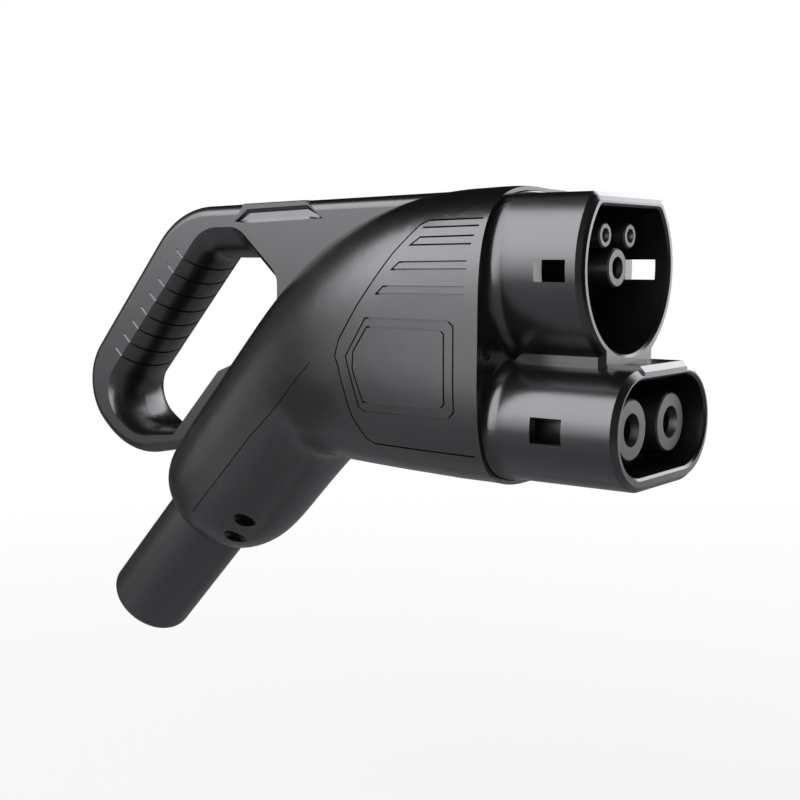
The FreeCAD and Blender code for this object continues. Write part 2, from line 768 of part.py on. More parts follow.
def power_contact_seal(y):
    front = seal_front - seal_clearance
    back = seal_front - seal_width + seal_clearance
    ring = tube(power_socket_radius + contact_clearance - seal_clearance, front, back, y, lower_centre)
    return ring.cut(tube(power_socket_radius - seal_depth + seal_clearance, front, back, y, lower_centre))


def two_lobe_plate(margin, x_front, x_back):
    """Flat plate that follows the outlines of both bores with a margin around them."""
    upper = flat_topped_bar(upper_bore + margin, upper_bore_flat + margin, cavity_corner, x_front, x_back)
    lower = slot_bar(cavity_half_width + margin, cavity_half_height + margin, cavity_centre, x_front, x_back)
    return upper, lower


def carrier_gasket():
    """Sheet gasket between the flange and the shoulders of both carriers."""
    upper, lower = two_lobe_plate(gasket_margin, flange_back, shoulder_front)
    bridge = block(shoulder_front, flange_back, -bridge_half_width, bridge_half_width,
                   cavity_centre + cavity_half_height + 1, -upper_bore - 1)
    shape = upper.fuse([lower, bridge]).removeSplitter()
    inner_upper, inner_lower = two_lobe_plate(0.0, flange_back + 1, shoulder_front - 1)
    return shape.cut(inner_upper).cut(inner_lower).common(body_loft(shell_wall + carrier_clearance))


def contact_retainer():
    """Plate that holds the collars of all contacts, with posts for the sensor board."""
    upper, lower = two_lobe_plate(gasket_margin, shoulder_back, retainer_back)
    middle = block(retainer_back, shoulder_back, -retainer_half_width, retainer_half_width,
                   retainer_low, retainer_high)
    pieces = [lower, middle]
    ear_radius = small_head + head_clearance
    for sign in (-1, 1):
        y = sign * ear_screw_y
        pieces.append(tube(ear_radius, shoulder_back, retainer_back, y, ear_screw_z))
        inner = sign * (upper_bore - 1)
        pieces.append(block(retainer_back, shoulder_back, min(y, inner), max(y, inner),
                            ear_screw_z - ear_radius, ear_screw_z + ear_radius))
        pieces.append(tube(post_radius, retainer_back, board_front, sign * post_spread, board_middle))
    shape = upper.fuse(pieces).removeSplitter()
    holes = [(earth_barrel_radius, 0.0, 0.0)]
    for sign in (-1, 1):
        holes.append((signal_barrel_radius, sign * signal_half_spacing, signal_height))
        holes.append((power_barrel_radius, sign * power_half_spacing, lower_centre))
    for radius, y, z in holes:
        shape = shape.cut(tube(radius + barrel_clearance, shoulder_back, retainer_back, y, z))
    for y, z in retainer_screw_places:
        shape = shape.cut(tube(small_shank + thread_clearance, shoulder_back, retainer_back, y, z))
    for sign in (-1, 1):
        tip = board_back + board_screw_length + thread_clearance
        shape = shape.cut(tube(small_shank + thread_clearance, tip, board_front, sign * post_spread, board_middle))
    return shape.common(body_loft(shell_wall + carrier_clearance))


def lead_places():
    reach = resistor_half_length + lead_reach
    return [(sign * reach, board_middle) for sign in (-1, 1)]


def sensor_board():
    """Flat circuit board with two screw holes and two lead holes."""
    shape = block(board_back, board_front, -board_half_width, board_half_width, board_low, board_high)
    for sign in (-1, 1):
        shape = shape.cut(tube(small_shank + thread_clearance, board_front, board_back,
                               sign * post_spread, board_middle))
    for y, z in lead_places():
        shape = shape.cut(tube(lead_radius + thread_clearance, board_front, board_back, y, z))
    return shape


def coding_resistor():
    """Small round resistor across the board, with its leads bent into the board."""
    height = board_back - resistor_radius - thread_clearance
    reach = resistor_half_length + lead_reach
    shape = Part.makeCylinder(resistor_radius, 2 * resistor_half_length,
                              vec(height, -resistor_half_length, board_middle), side)
    shape = shape.fuse(Part.makeCylinder(lead_radius, 2 * reach, vec(height, -reach, board_middle), side))
    for y, z in lead_places():
        shape = shape.fuse(tube(lead_radius, board_front, height, y, z))
    return shape


def contact_sensor(y):
    """Temperature sensor block with a saddle that sits on a power barrel."""
    top = lower_centre + power_barrel_radius + sensor_height
    low = lower_centre + power_barrel_radius - sensor_grip
    shape = block(sensor_x - sensor_half, sensor_x + sensor_half, y - sensor_half, y + sensor_half, low, top)
    saddle = tube(power_barrel_radius + barrel_clearance, sensor_x + sensor_half, sensor_x - sensor_half,
                  y, lower_centre)
    return shape.cut(saddle)


def cable_sleeve():
    """Stiff tube around the cable, held by a ring inside the grip."""
    shape = grip_bar(sleeve_radius, -sleeve_length, sleeve_inside)
    end = grip_point(-sleeve_length)
    edges = [edge for edge in shape.Edges if edge.Closed and (edge.CenterOfMass - end).Length < 0.1]
    shape = shape.makeFillet(sleeve_edge, edges)
    ring = grip_bar(sleeve_ring_radius, sleeve_ring_start, sleeve_ring_start + sleeve_ring_length)
    shape = shape.fuse(ring)
    return shape.cut(grip_bar(cable_bore, -sleeve_length - 1, sleeve_inside + 1))


def cable_seal():
    ring = grip_bar(seal_ring_radius, sleeve_inside, seal_end)
    return ring.cut(grip_bar(cable_bore, sleeve_inside - 1, seal_end + 1))


def grip_box(station_low, station_high, offset_low, offset_high, half_width):
    """Box square to the grip axis, symmetric about the middle plane."""
    corners = []
    for station, offset in ((station_low, offset_low), (station_high, offset_low),
                            (station_high, offset_high), (station_low, offset_high)):
        point = grip_point(station, offset)
        corners.append((point.x, point.z))
    return flat_prism(corners, -half_width, half_width)


def clamp_screw_seats():
    middle = (seal_end + clamp_end) / 2
    return [grip_point(middle, clamp_ear_half, sign * clamp_screw_offset) for sign in (-1, 1)]


def cable_clamp(sign):
    """Half of the strain-relief clamp; both halves grip the cable between the webs."""
    shape = grip_bar(clamp_radius, seal_end, clamp_end)
    ears = grip_box(seal_end, clamp_end, -clamp_ear_half, clamp_ear_half, clamp_ear_reach)
    shape = shape.fuse(ears).cut(grip_bar(cable_bore, seal_end - 1, clamp_end + 1))
    near = sign * clamp_gap / 2
    far = sign * (clamp_radius + 1)
    keep = grip_box(seal_end - 1, clamp_end + 1, min(near, far), max(near, far), clamp_ear_reach + 1)
    shape = shape.common(keep)
    for seat in clamp_screw_seats():
        drill = Part.makeCylinder(shell_shank + thread_clearance, 2 * clamp_radius,
                                  seat + across * clamp_radius, across * -1)
        shape = shape.cut(drill)
        room = Part.makeCylinder(shell_head + head_clearance, clamp_radius, seat, across)
        shape = shape.cut(room)
    return shape


# Brow of the handle cap in side view, from its front foot over its two corners to its rear foot
brow_corners = [(-115.6, 17.2), (-123.1, 21.4), (-152.6, 20.5), (-159.6, 16.6)]
cap_ends = [(-151.5, 28.0), (-129.3, 28.0)]
scoop_steps = (0.0, 0.1, 0.35, 1.0)


def brow_line(lift):
    """The brow's corners between its two feet, lifted off the line."""
    return moved_corners(brow_corners, [-lift, -lift, -lift, 0.0])[1:3]


def brow_outline(low, high, y):
    """Closed outline between the brow line lifted by one amount and by another, at one place across."""
    front, rear = brow_corners[0], brow_corners[-1]
    ring = [front] + brow_line(high) + [rear] + brow_line(low)[::-1]
    corners = [vec(x, y, z) for x, z in ring]
    return Part.makePolygon(corners + [corners[0]])


def cap_blank(grow):
    """Block of the cap with its brow line at the inner edge of the bevel."""
    reach = handle_half_width + tool_margin
    low = brow_line(-brow_half_height)
    corners = [brow_corners[-1]] + low[::-1] + [brow_corners[0]] + cap_ends[::-1]
    return flat_prism(moved_corners(corners, [-grow] * len(corners)), -reach, reach)


def handle_cap():
    """Fixed saddle over the top of the ring handle, bevelled under its side flaps."""
    shape = cap_blank(0.0).common(plate_blank(0.0, 0.0, False)).cut(plate_blank(-cap_sink, -cap_sink))
    top_edges = [edge for edge in shape.Edges if edge.BoundBox.ZMin > cap_edge_height
                 and abs(abs(edge.BoundBox.YMin) - handle_half_width) < 0.01
                 and edge.BoundBox.YMax - edge.BoundBox.YMin < 0.01]
    shape = shape.makeChamfer(cap_edge, top_edges)
    outer = brow_outline(-scoop_height, brow_half_height, -handle_half_width)
    inner = brow_outline(-scoop_height, -brow_half_height, brow_depth - handle_half_width)
    for cutter in both_sides(Part.makeLoft([outer, inner], True, True)):
        shape = shape.cut(cutter)
    return shape


def brow_scoop():
    """Rounded hollow in the side face under the brow, which deepens towards it and fades out at its feet."""
    rings = []
    for share in scoop_steps:
        low = -brow_half_height - scoop_height * (1 - share)
        depth = scoop_depth * (1 - (1 - share) ** 2)
        rings.append(brow_outline(low, 0.0, depth - handle_half_width))
    return both_sides(Part.makeLoft(rings, True, True))


def cap_seat():
    """Recess in the shells that the cap sits in."""
    sink = cap_sink + cap_clearance
    return cap_blank(cap_clearance).cut(plate_blank(-sink, -sink))


peg_places = [(-203.5, -7.9), (-229.9, -38.2)]


def inner_room():
    """Hollow of the body, the grip and the handle, less the bosses and webs that stand in it."""
    body = body_loft(shell_wall).cut(grip_bar(3 * sleeve_radius, -grip_floor, grip_floor))
    handle = plate_blank(-shell_wall, -shell_wall, False).cut(handle_hole(shell_wall, handle_half_width))
    room = body.fuse(handle)
    webs = [(seal_end - web_length, seal_end, seal_ring_radius + sleeve_clearance),
            (clamp_end, clamp_end + web_length, cable_bore + sleeve_clearance)]
    for start, stop, hole in webs:
        room = room.cut(grip_bar(2 * sleeve_radius, start, stop).cut(grip_bar(hole, start, stop)))
    for station in shell_screw_stations:
        centre = grip_point(station, shell_screw_offset, -tool_reach)
        room = room.cut(Part.makeCylinder(shell_recess + boss_wall, 2 * tool_reach, centre, side))
    for sign in (-1, 1):
        boss = tube(nose_boss, flange_back + 1, flange_back - nose_boss_length, sign * nose_screw_y, nose_screw_z)
        room = room.cut(boss)
    for x, z in peg_places:
        room = room.cut(Part.makeCylinder(peg_boss, 2 * tool_reach, vec(x, -tool_reach, z), side))
    return room


def shell_pair():
    """Right and left body shells, which meet in the middle plane."""
    outer = body_loft(0.0).fuse(plate_blank(0.0, 0.0).cut(handle_hole(0.0, handle_half_width)))
    rim = section_list()[0]
    pocket = Part.Face(section_wire(rim, rim_wall)).extrude(vec(-flange_thickness, 0, 0))
    bore = grip_bar(sleeve_radius + sleeve_clearance, -1, sleeve_inside)
    ring = grip_bar(sleeve_ring_radius + sleeve_clearance, sleeve_ring_start - sleeve_clearance,
                    sleeve_ring_start + sleeve_ring_length + sleeve_clearance)
    whole = outer.cut(inner_room()).cut(pocket).cut(bore).cut(ring).cut(cap_seat())
    for cutter in brow_scoop():
        whole = whole.cut(cutter)
    for sign in (-1, 1):
        pilot = tube(small_shank + thread_clearance, flange_back + 1, flange_back - nose_boss_length - 1,
                     sign * nose_screw_y, nose_screw_z)
        whole = whole.cut(pilot)
    for station in shell_screw_stations:
        centre = grip_point(station, shell_screw_offset)
        tip = shell_screw_length - shell_head_seat + thread_clearance
        drill = Part.makeCylinder(shell_shank + thread_clearance, shell_head_seat + tip,
                                  centre - side * shell_head_seat, side)
        recess = Part.makeCylinder(shell_recess, tool_reach, centre - side * shell_head_seat, side * -1)
        whole = whole.cut(drill).cut(recess)
    for slot in rib_grooves():
        whole = whole.cut(slot)
    skin = body_loft(decor_depth)
    lines = [engraving(line, False) for line in [panel_line, step_line] + slot_lines]
    lines += [engraving(line, True) for line in (badge_outer, badge_inner)]
    lines.append(engraving(grip_line, False, grip_line_width))
    lines = [line.cut(skin) for line in lines]
    box = whole.BoundBox
    halves = []
    for sign in (-1, 1):
        low = -tool_reach if sign < 0 else 0.0
        half = block(box.XMin - 1, box.XMax + 1, low, low + tool_reach, box.ZMin - 1, box.ZMax + 1)
        shell = whole.common(half)
        for line in lines:
            shell = shell.cut(line if sign < 0 else line.mirror(vec(0, 0, 0), side))
        for x, z in peg_places:
            radius = peg_radius + (thread_clearance if sign < 0 else 0.0)
            length = peg_length + (thread_clearance if sign < 0 else 0.0)
            peg = Part.makeCylinder(radius, length, vec(x, -length, z), side)
            shell = shell.cut(peg) if sign < 0 else shell.fuse(peg)
        halves.append(shell)
    return halves


def build_nodes():
    nodes = {}
    nodes["nose_shroud"] = nose_shroud()
    nodes["signal_carrier"] = signal_carrier()
    nodes["power_carrier"] = power_carrier()
    nodes["carrier_gasket"] = carrier_gasket()
    nodes["contact_retainer"] = contact_retainer()
    nodes["power_contact_positive"] = power_contact(-power_half_spacing)
    nodes["power_contact_negative"] = power_contact(power_half_spacing)
    nodes["earth_contact"] = contact(signal_tower_face, earth_lip, earth_socket_radius, earth_bore,
                                     earth_barrel_radius, earth_barrel_end, 0.0, 0.0)
    for name, sign in (("pilot_contact", -1), ("proximity_contact", 1)):
        nodes[name] = contact(signal_tower_face, signal_lip, signal_socket_radius, signal_bore,
                              signal_barrel_radius, signal_barrel_end, sign * signal_half_spacing, signal_height)
    places = (-power_half_spacing, power_half_spacing)
    nodes["power_contact_seals"] = Part.makeCompound([power_contact_seal(y) for y in places])
    nodes["contact_sensors"] = Part.makeCompound([contact_sensor(y) for y in places])
    nodes["sensor_board"] = sensor_board()
    nodes["coding_resistor"] = coding_resistor()
    nodes["board_screws"] = Part.makeCompound([
        screw(vec(board_back, sign * post_spread, board_middle), forward,
              small_shank, small_head, small_head_height, board_screw_length) for sign in (-1, 1)])
    nodes["retainer_screws"] = Part.makeCompound([
        screw(vec(retainer_back, y, z), forward,
              small_shank, small_head, small_head_height, retainer_screw_length)
        for y, z in retainer_screw_places])
    nodes["nose_screws"] = Part.makeCompound([
        screw(vec(collar_x - nose_screw_seat, sign * nose_screw_y, nose_screw_z), forward * -1,
              small_shank, small_head, small_head_height, nose_screw_length) for sign in (-1, 1)])
    nodes["shell_screws"] = Part.makeCompound([
        screw(grip_point(station, shell_screw_offset, -shell_head_seat), side,
              shell_shank, shell_head, shell_head_height, shell_screw_length)
        for station in shell_screw_stations])
    nodes["clamp_screws"] = Part.makeCompound([
        screw(seat, across * -1, shell_shank, shell_head, shell_head_height, clamp_screw_length)
        for seat in clamp_screw_seats()])
    nodes["cable_clamp_front"] = cable_clamp(1)
    nodes["cable_clamp_back"] = cable_clamp(-1)
    nodes["cable_sleeve"] = cable_sleeve()
    nodes["cable_seal"] = cable_seal()
    nodes["handle_cap"] = handle_cap()
    nodes["right_shell"], nodes["left_shell"] = shell_pair()
    return nodes


os.makedirs("parts", exist_ok=True)
for name, shape in build_nodes().items():
    print(name, shape.ShapeType, len(shape.Solids), shape.isValid(), round(shape.Volume / 1000, 2))
    shape.exportStep("parts/" + name + ".step")
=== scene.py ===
import math

import bpy
from mathutils import Matrix, Vector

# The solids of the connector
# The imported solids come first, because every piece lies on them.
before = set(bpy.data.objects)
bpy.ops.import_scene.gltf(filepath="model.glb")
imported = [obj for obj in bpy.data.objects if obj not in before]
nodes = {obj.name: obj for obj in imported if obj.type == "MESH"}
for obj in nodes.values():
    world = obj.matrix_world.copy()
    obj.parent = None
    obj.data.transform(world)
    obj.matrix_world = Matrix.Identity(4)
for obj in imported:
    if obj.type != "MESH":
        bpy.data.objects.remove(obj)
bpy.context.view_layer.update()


# Camera
# It stands to the front right of the connector and slightly above it, at the photograph's distance
# and lens. It has no shift and no depth of field.
def camera_at(place, azimuth, pitch, roll, focal_px, frame_px):
    """A camera at a place in metres, with its angles in degrees and its lens in the frame's pixels."""
    turn, tip, lean = (math.radians(angle) for angle in (azimuth, pitch, roll))
    ahead = Vector((-math.sin(turn) * math.cos(tip), math.cos(turn) * math.cos(tip), -math.sin(tip)))
    level = Vector((math.cos(turn), math.sin(turn), 0))
    up = level.cross(ahead)
    right = level * math.cos(lean) + up * math.sin(lean)
    up = right.cross(ahead)
    data = bpy.data.cameras.new("camera")
    data.sensor_width = 36
    data.lens = data.sensor_width * focal_px / frame_px
    data.clip_start = 0.01
    camera = bpy.data.objects.new("camera", data)
    axes = Matrix((right, up, -ahead)).transposed()
    camera.matrix_world = Matrix.Translation(place) @ axes.to_4x4()
    bpy.context.scene.collection.objects.link(camera)
    bpy.context.scene.camera = camera


camera_at(place=Vector((0.19376, -0.37680, 0.00314)), azimuth=37.199, pitch=6.222, roll=0.096,
          focal_px=1306.2, frame_px=800)


# Handle shells
# The two halves of the body, grip and ring handle are injection-moulded glass-filled polyamide, near
# black. The tool's fine spark-eroded grain gives a satin sheen with soft-edged highlights. They meet
# in the middle plane, where a hairline joint shows.
def linear(hex_colour):
    """A colour written as sRGB hex, in linear light."""
    parts = [int(hex_colour[index:index + 2], 16) / 255 for index in (1, 3, 5)]
    parts = [part / 12.92 if part <= 0.04045 else ((part + 0.055) / 1.055) ** 2.4 for part in parts]
    return (*parts, 1.0)


def add_node(tree, kind, values=None, links=None, **settings):
    """Adds a node: settings are its own fields, values go on its sockets and links feed them."""
    node = tree.nodes.new(kind)
    for field, value in settings.items():
        setattr(node, field, value)
    for socket, value in (values or {}).items():
        node.inputs[socket].default_value = value
    for socket, source in (links or {}).items():
        tree.links.new(source, node.inputs[socket])
    return node


def new_material(name):
    """An empty node material."""
    material = bpy.data.materials.new(name)
    material.use_nodes = True
    material.node_tree.nodes.clear()
    return material, material.node_tree


def per_metre(size_mm):
    """Noise scale at which one feature of the pattern has this size."""
    return 1000 / size_mm


def moulded_plastic(name, dark, light, roughness, grain_mm, grain_depth_mm, flow_mm=14, joint_mm=0):
    """Moulded plastic: eroded grain in the relief, and faint flow marks in colour and gloss.

    Sockets 6 and 7 of a Mix node are its two colours, here and in the other materials.
    """
    gloss_spread = 0.03
    joint_depth_in_grains = 8.0
    material, tree = new_material(name)
    place = add_node(tree, "ShaderNodeTexCoord").outputs["Object"]
    flow = add_node(tree, "ShaderNodeTexNoise", {"Scale": per_metre(flow_mm), "Detail": 3.0},
                    {"Vector": place})
    grain = add_node(tree, "ShaderNodeTexNoise", {"Scale": per_metre(grain_mm), "Detail": 2.0},
                     {"Vector": place})
    colour = add_node(tree, "ShaderNodeMix", {6: linear(dark), 7: linear(light)},
                      {"Factor": flow.outputs["Fac"]}, data_type="RGBA")
    gloss = add_node(tree, "ShaderNodeMapRange",
                     {"To Min": roughness - gloss_spread, "To Max": roughness + gloss_spread},
                     {"Value": flow.outputs["Fac"]})
    relief = grain.outputs["Fac"]
    tint = colour.outputs[2]
    if joint_mm:
        parts = add_node(tree, "ShaderNodeSeparateXYZ", links={"Vector": place})
        off = add_node(tree, "ShaderNodeMath", links={0: parts.outputs["Y"]}, operation="ABSOLUTE")
        joint = add_node(tree, "ShaderNodeMapRange",
                         {"From Min": joint_mm / 2000, "From Max": joint_mm / 1000,
                          "To Min": 0.0, "To Max": 1.0},
                         {"Value": off.outputs[0]}, interpolation_type="SMOOTHSTEP")
        rise = add_node(tree, "ShaderNodeMath", {1: joint_depth_in_grains}, {0: joint.outputs[0]},
                        operation="MULTIPLY")
        relief = add_node(tree, "ShaderNodeMath", links={0: relief, 1: rise.outputs[0]},
                          operation="ADD").outputs[0]
        tint = add_node(tree, "ShaderNodeMix", {6: linear("#020202")},
                        {"Factor": joint.outputs[0], 7: tint}, data_type="RGBA").outputs[2]
    bump = add_node(tree, "ShaderNodeBump", {"Strength": 1.0, "Distance": grain_depth_mm / 1000},
                    {"Height": relief})
    shader = add_node(tree, "ShaderNodeBsdfPrincipled", {"IOR": 1.53},
                      {"Base Color": tint, "Roughness": gloss.outputs[0],
                       "Normal": bump.outputs["Normal"]})
    add_node(tree, "ShaderNodeOutputMaterial", links={"Surface": shader.outputs[0]})
    return material


def dress(material, *names):
    """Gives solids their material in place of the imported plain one."""
    for name in names:
        mesh = nodes[name].data
        mesh.materials.clear()
        mesh.materials.append(material)


dress(moulded_plastic("moulded polyamide", "#0b0b0c", "#0e0e0f", roughness=0.27, grain_mm=0.35,
                      grain_depth_mm=0.0012, joint_mm=0.16),
      "right_shell", "left_shell")

# Handle cap
# The trapezoid saddle on top of the ring handle is a separate moulding of the same polyamide, pressed
# into its seat. Its grain is slightly finer, so it looks a trace smoother than the shells.
dress(moulded_plastic("fine-grained polyamide", "#0c0c0d", "#0f0f10", roughness=0.27, grain_mm=0.3,
                      grain_depth_mm=0.0012),
      "handle_cap")

# Nose shroud
# Both lobes, their web and the flange are one moulding of a tougher, smoother polyamide that slides
# into the vehicle inlet. It has more gloss than the shells, and its highlights have sharper edges.
dress(moulded_plastic("smooth polyamide", "#0c0c0d", "#0f0f10", roughness=0.25, grain_mm=0.5,
                      grain_depth_mm=0.0008),
      "nose_shroud")

# Contact carriers
# The towers and their carriers are moulded in glass-filled polyester, which keeps its shape when hot.
# The glass shows as a fine speckle on the matt faces. The contact retainer and the cable clamp inside
# are the same plastic.
dress(moulded_plastic("glass-filled polyester", "#0a0a0b", "#0f0f10", roughness=0.38, grain_mm=0.25,
                      grain_depth_mm=0.004, flow_mm=3),
      "signal_carrier", "power_carrier", "contact_retainer", "cable_clamp_front", "cable_clamp_back")

# Cable sleeve
# The stub of stiff tube at the end of the grip takes the cable. It is moulded polyamide as well, with
# a duller satin face than the shells.
dress(moulded_plastic("sleeve polyamide", "#0b0b0c", "#0e0e0f", roughness=0.32, grain_mm=0.4,
                      grain_depth_mm=0.0015),
      "cable_sleeve")


# Seals
# The gasket, the rings on the power contacts and the cable seal are moulded black silicone rubber.
# They are soft and matt, with a faint cloudy bloom.
def rubber(name, dark, light, bloom_mm, bloom_depth_mm):
    """Moulded rubber: matt, with a bloom in colour and relief."""
    material, tree = new_material(name)
    place = add_node(tree, "ShaderNodeTexCoord").outputs["Object"]
    bloom = add_node(tree, "ShaderNodeTexNoise", {"Scale": per_metre(bloom_mm), "Detail": 4.0},
                     {"Vector": place})
    colour = add_node(tree, "ShaderNodeMix", {6: linear(dark), 7: linear(light)},
                      {"Factor": bloom.outputs["Fac"]}, data_type="RGBA")
    bump = add_node(tree, "ShaderNodeBump", {"Strength": 0.4, "Distance": bloom_depth_mm / 1000},
                    {"Height": bloom.outputs["Fac"]})
    shader = add_node(tree, "ShaderNodeBsdfPrincipled", {"Roughness": 0.75, "IOR": 1.45},
                      {"Base Color": colour.outputs[2], "Normal": bump.outputs["Normal"]})
    add_node(tree, "ShaderNodeOutputMaterial", links={"Surface": shader.outputs[0]})
    return material


dress(rubber("silicone rubber", "#101010", "#191919", bloom_mm=1.5, bloom_depth_mm=0.02),
      "carrier_gasket", "power_contact_seals", "cable_seal")


# Contacts
# The sockets and crimp barrels are turned copper alloy with silver plating. Their colour is painted a dark
# warm grey, as painted shade deep inside the socket bores, and varies in patches. The lathe leaves rings
# round the axis, drawn 1.57 mm apart, coarser than real ones, so that they can show.
def turned_silver(name, bright, darker_shaded_tone, ring_mm, ring_depth_mm, patch_mm):
    """Turned metal: rings along X in the relief, and patches in colour and gloss; both colours are painted
    shade.
    """
    wave_period = math.pi / 10  # distance at which a Wave node of scale 1 repeats
    material, tree = new_material(name)
    place = add_node(tree, "ShaderNodeTexCoord").outputs["Object"]
    rings = add_node(tree, "ShaderNodeTexWave",
                     {"Scale": per_metre(ring_mm) * wave_period, "Distortion": 0.4, "Detail": 1.0},
                     {"Vector": place}, bands_direction="X")
    patches = add_node(tree, "ShaderNodeTexNoise", {"Scale": per_metre(patch_mm), "Detail": 4.0},
                       {"Vector": place})
    colour = add_node(tree, "ShaderNodeMix", {6: linear(bright), 7: linear(darker_shaded_tone)},
                      {"Factor": patches.outputs["Fac"]}, data_type="RGBA")
    gloss = add_node(tree, "ShaderNodeMapRange", {"To Min": 0.22, "To Max": 0.36},
                     {"Value": patches.outputs["Fac"]})
    bump = add_node(tree, "ShaderNodeBump", {"Strength": 0.5, "Distance": ring_depth_mm / 1000},
                    {"Height": rings.outputs["Fac"]})
    shader = add_node(tree, "ShaderNodeBsdfPrincipled", {"Metallic": 1.0},
                      {"Base Color": colour.outputs[2], "Roughness": gloss.outputs[0],
                       "Normal": bump.outputs["Normal"]})
    add_node(tree, "ShaderNodeOutputMaterial", links={"Surface": shader.outputs[0]})
    return material


# Both colours are painted dark as shade inside the sockets; plain silver plating would be much lighter.
dress(turned_silver("silver-plated copper", "#56534e", "#38342f", ring_mm=1.5708, ring_depth_mm=0.01,
                    patch_mm=6),
      "power_contact_positive", "power_contact_negative", "earth_contact", "pilot_contact",
      "proximity_contact")

# Sensor board
# The board in the body is glass-fibre laminate under green solder mask, glossy and slightly uneven.
# It carries a tan lacquered resistor. Two dull grey polyester sensor blocks sit on the power contacts.
dress(moulded_plastic("solder mask on laminate", "#10361f", "#184a2a", roughness=0.3, grain_mm=0.8,
                      grain_depth_mm=0.003),
      "sensor_board")
dress(moulded_plastic("resistor lacquer", "#8a6f4c", "#9c805b", roughness=0.25, grain_mm=0.5,
                      grain_depth_mm=0.002),
      "coding_resistor")
dress(moulded_plastic("sensor housing polyester", "#55534d", "#636159", roughness=0.45, grain_mm=0.3,
                      grain_depth_mm=0.005),
      "contact_sensors")


# Screws
# All screws are steel with a hexagon socket, blackened in a hot bath. The black oxide is thin, dull
# and slightly mottled.
def black_oxide(name, dark, light, mottle_mm):
    """Blackened steel, mottled in colour and gloss."""
    material, tree = new_material(name)
    place = add_node(tree, "ShaderNodeTexCoord").outputs["Object"]
    mottle = add_node(tree, "ShaderNodeTexNoise", {"Scale": per_metre(mottle_mm), "Detail": 4.0},
                      {"Vector": place})
    colour = add_node(tree, "ShaderNodeMix", {6: linear(dark), 7: linear(light)},
                      {"Factor": mottle.outputs["Fac"]}, data_type="RGBA")
    gloss = add_node(tree, "ShaderNodeMapRange", {"To Min": 0.34, "To Max": 0.5},
                     {"Value": mottle.outputs["Fac"]})
    shader = add_node(tree, "ShaderNodeBsdfPrincipled", {"Metallic": 1.0},
                      {"Base Color": colour.outputs[2], "Roughness": gloss.outputs[0]})
    add_node(tree, "ShaderNodeOutputMaterial", links={"Surface": shader.outputs[0]})
    return material


dress(black_oxide("black oxide steel", "#2a2a2c", "#3b3b3e", mottle_mm=1.2),
      "board_screws", "retainer_screws", "nose_screws", "shell_screws", "clamp_screws")


# Lamps
# Two flat lamps light the floor and the colours, one in front of the connector and one behind it. The
# gloss doesn't show them: the softbox faces below stand in for them there.
def plain_lamp(name, low, high, y, radiance):
    """Flat lamp in a plane of constant Y, from one corner in X and Z to the other."""
    data = bpy.data.lights.new(name, "AREA")
    data.shape = "RECTANGLE"
    data.size = high[0] - low[0]
    data.size_y = high[1] - low[1]
    data.energy = radiance * math.pi * data.size * data.size_y
    light = bpy.data.objects.new(name, data)
    light.location = ((low[0] + high[0]) / 2, y, (low[1] + high[1]) / 2)
    light.rotation_euler = Vector((0, -math.copysign(1, y), 0)).to_track_quat("-Z", "Z").to_euler()
    light.visible_camera = False
    light.visible_glossy = False
    bpy.context.scene.collection.objects.link(light)


plain_lamp("front lamp", low=(-2.16, 0.00), high=(1.27, 1.52), y=-1.45, radiance=3.8)
plain_lamp("rear lamp", low=(-0.92, 0.00), high=(0.70, 1.62), y=1.45, radiance=2.5)


# Softboxes
# Wall-sized softboxes behind the camera, to its left and behind the connector are what the gloss
# shows. Each is brighter from one height to another, so the sides of the connector shade softly down.
floor_z = -0.36


def panel(name, corners, material):
    """Flat sheet of the studio."""
    mesh = bpy.data.meshes.new(name)
    mesh.from_pydata(corners, [], [range(len(corners))])
    mesh.materials.append(material)
    piece = bpy.data.objects.new(name, mesh)
    bpy.context.scene.collection.objects.link(piece)
    return piece


def wall(start, end, start_top, end_top):
    """Corners of an upright sheet that stands on the floor between two places."""
    return [(*start, floor_z), (*end, floor_z), (*end, end_top), (*start, start_top)]


def sheen_only(piece):
    """Leaves a sheet to the glossy reflections, out of the picture and out of the light's way."""
    piece.visible_camera = False
    piece.visible_diffuse = False
    piece.visible_shadow = False


def softbox_face(name, corners, dim, bright, ramp_from, ramp_to, slant=0.0):
    """Face that glows from dim to bright over a ramp in height, which may slant along X."""
    material, tree = new_material(name)
    place = add_node(tree, "ShaderNodeTexCoord").outputs["Object"]
    height = add_node(tree, "ShaderNodeVectorMath", {1: (slant, 0.0, 1.0)}, {0: place},
                      operation="DOT_PRODUCT")
    level = add_node(tree, "ShaderNodeMapRange",
                     {"From Min": ramp_from, "From Max": ramp_to, "To Min": dim, "To Max": bright},
                     {"Value": height.outputs["Value"]})
    glow = add_node(tree, "ShaderNodeEmission", {"Color": linear("#fbfaff")},
                    {"Strength": level.outputs[0]})
    add_node(tree, "ShaderNodeOutputMaterial", links={"Surface": glow.outputs[0]})
    sheen_only(panel(name, corners, material))


softbox_face("front softbox", wall((-2.20, -1.40), (1.45, -1.40), start_top=3.30, end_top=2.75),
             dim=1.04, bright=8.2, ramp_from=-0.61, ramp_to=0.25, slant=0.25)
softbox_face("side softbox", wall((-2.40, -0.97), (-2.20, -1.40), start_top=3.40, end_top=3.30),
             dim=0.62, bright=8.2, ramp_from=-0.10, ramp_to=1.90)
softbox_face("rear softbox", wall((-0.30, 1.40), (1.20, 1.40), start_top=1.62, end_top=1.62),
             dim=0.83, bright=5.2, ramp_from=floor_z, ramp_to=0.05)


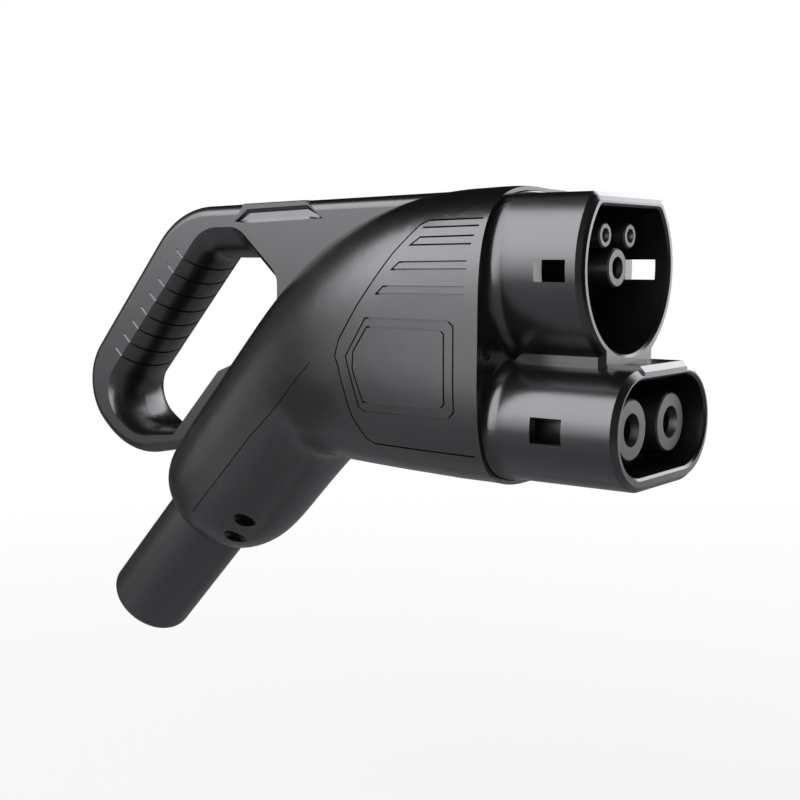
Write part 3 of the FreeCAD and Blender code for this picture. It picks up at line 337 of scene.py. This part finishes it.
# Floor
# The connector floats over a sheet of thin pale paper. The paper thins out with distance, so that it
# fades into the white room without an edge.
def matt_sheet(name, colour, fade_from=0.0, fade_to=0.0, thin=0.0):
    """Painted board or thin paper, which can fade out with distance from the middle."""
    pulp_mm = 40
    pulp_depth_mm = 0.1
    material, tree = new_material(name)
    place = add_node(tree, "ShaderNodeTexCoord").outputs["Object"]
    pulp = add_node(tree, "ShaderNodeTexNoise", {"Scale": per_metre(pulp_mm)}, {"Vector": place})
    bump = add_node(tree, "ShaderNodeBump", {"Strength": 0.1, "Distance": pulp_depth_mm / 1000},
                    {"Height": pulp.outputs["Fac"]})
    shader = add_node(tree, "ShaderNodeBsdfDiffuse", {"Color": linear(colour)},
                      {"Normal": bump.outputs["Normal"]})
    surface = shader.outputs[0]
    if fade_to:
        reach = add_node(tree, "ShaderNodeVectorMath", links={0: place}, operation="LENGTH")
        share = add_node(tree, "ShaderNodeMapRange",
                         {"From Min": fade_from, "From Max": fade_to, "To Min": thin},
                         {"Value": reach.outputs["Value"]}, interpolation_type="SMOOTHSTEP")
        clear = add_node(tree, "ShaderNodeBsdfTransparent")
        surface = add_node(tree, "ShaderNodeMixShader",
                           links={"Fac": share.outputs[0], 1: surface, 2: clear.outputs[0]}).outputs[0]
    add_node(tree, "ShaderNodeOutputMaterial", links={"Surface": surface})
    return material


def flat(outline, z):
    """Corners of a level sheet with this outline in X and Y."""
    return [(x, y, z) for x, y in outline]


reach = 1.9
panel("floor", flat([(-reach, -reach), (reach, -reach), (reach, reach), (-reach, reach)], floor_z),
      matt_sheet("pale floor paper", "#f2f2f2", fade_from=0.2, fade_to=1.7, thin=0.66))

# Cards
# A tent of black card stands round the studio and keeps the edges and the top of the connector dark.
# Only its left side is grey. The camera sees through the card to the white room.
left, right, front, back, front_top, back_top = -2.60, 1.50, -1.42, 1.50, 3.50, 1.80
black_card = matt_sheet("black card", "#050505")
top_corners = [(left, front, front_top), (right, front, front_top), (right, back, back_top),
               (left, back, back_top)]
for name, corners, material in (
        ("left card", wall((left, front), (left, back), front_top, back_top),
         matt_sheet("dark grey card", "#6a6a6a")),
        ("right card", wall((right, front), (right, back), front_top, back_top), black_card),
        ("top card", top_corners, black_card),
        ("rear card", wall((left, back), (right, back), back_top, back_top), black_card)):
    panel(name, corners, material).visible_camera = False

# Floor cards
# For the gloss alone, grey cards lie a hair above the paper. They are painted reflection: darker behind the
# connector and towards the far left as painted shade, so its underside and the neck above the grip stay
# deep.
cards_z = floor_z + 0.001
shade_z = floor_z + 0.002
near, far = 0.05, -0.55
sheen_only(panel("floor gloss", flat([(left, front), (right, front), (right, back), (left, back)], cards_z),
                 matt_sheet("light grey card", "#d0d0d7")))
# Painted shade, seen only in the reflections of the underside and the neck.
sheen_only(panel("near floor shade", flat([(far, -0.12), (near, 0.19), (near, back), (far, back)], shade_z),
                 matt_sheet("grey card", "#a8a8ad")))
sheen_only(panel("far floor shade", flat([(left, front), (-1.60, front), (-0.80, -0.50), (far, -0.12),
                                          (far, back), (left, back)], shade_z),
                 matt_sheet("dim grey card", "#808084")))

# White room
# The background is plain white to the camera, in reflections and through clear things. As a light it
# is a dim even fill.
fill_level = 0.4
world = bpy.data.worlds.new("white room")
bpy.context.scene.world = world
world.use_nodes = True
tree = world.node_tree
tree.nodes.clear()
path = add_node(tree, "ShaderNodeLightPath")
seen = add_node(tree, "ShaderNodeMath",
                links={0: path.outputs["Is Camera Ray"], 1: path.outputs["Is Glossy Ray"]},
                operation="ADD")
seen = add_node(tree, "ShaderNodeMath",
                links={0: seen.outputs[0], 1: path.outputs["Is Transmission Ray"]},
                operation="ADD", use_clamp=True)
fill = add_node(tree, "ShaderNodeBackground", {"Color": (1, 1, 1, 1), "Strength": fill_level})
white = add_node(tree, "ShaderNodeBackground", {"Color": (1, 1, 1, 1), "Strength": 1.0})
both = add_node(tree, "ShaderNodeMixShader",
                links={"Fac": seen.outputs[0], 1: fill.outputs[0], 2: white.outputs[0]})
add_node(tree, "ShaderNodeOutputWorld", links={"Surface": both.outputs[0]})
bpy.context.scene.view_settings.view_transform = "Standard"
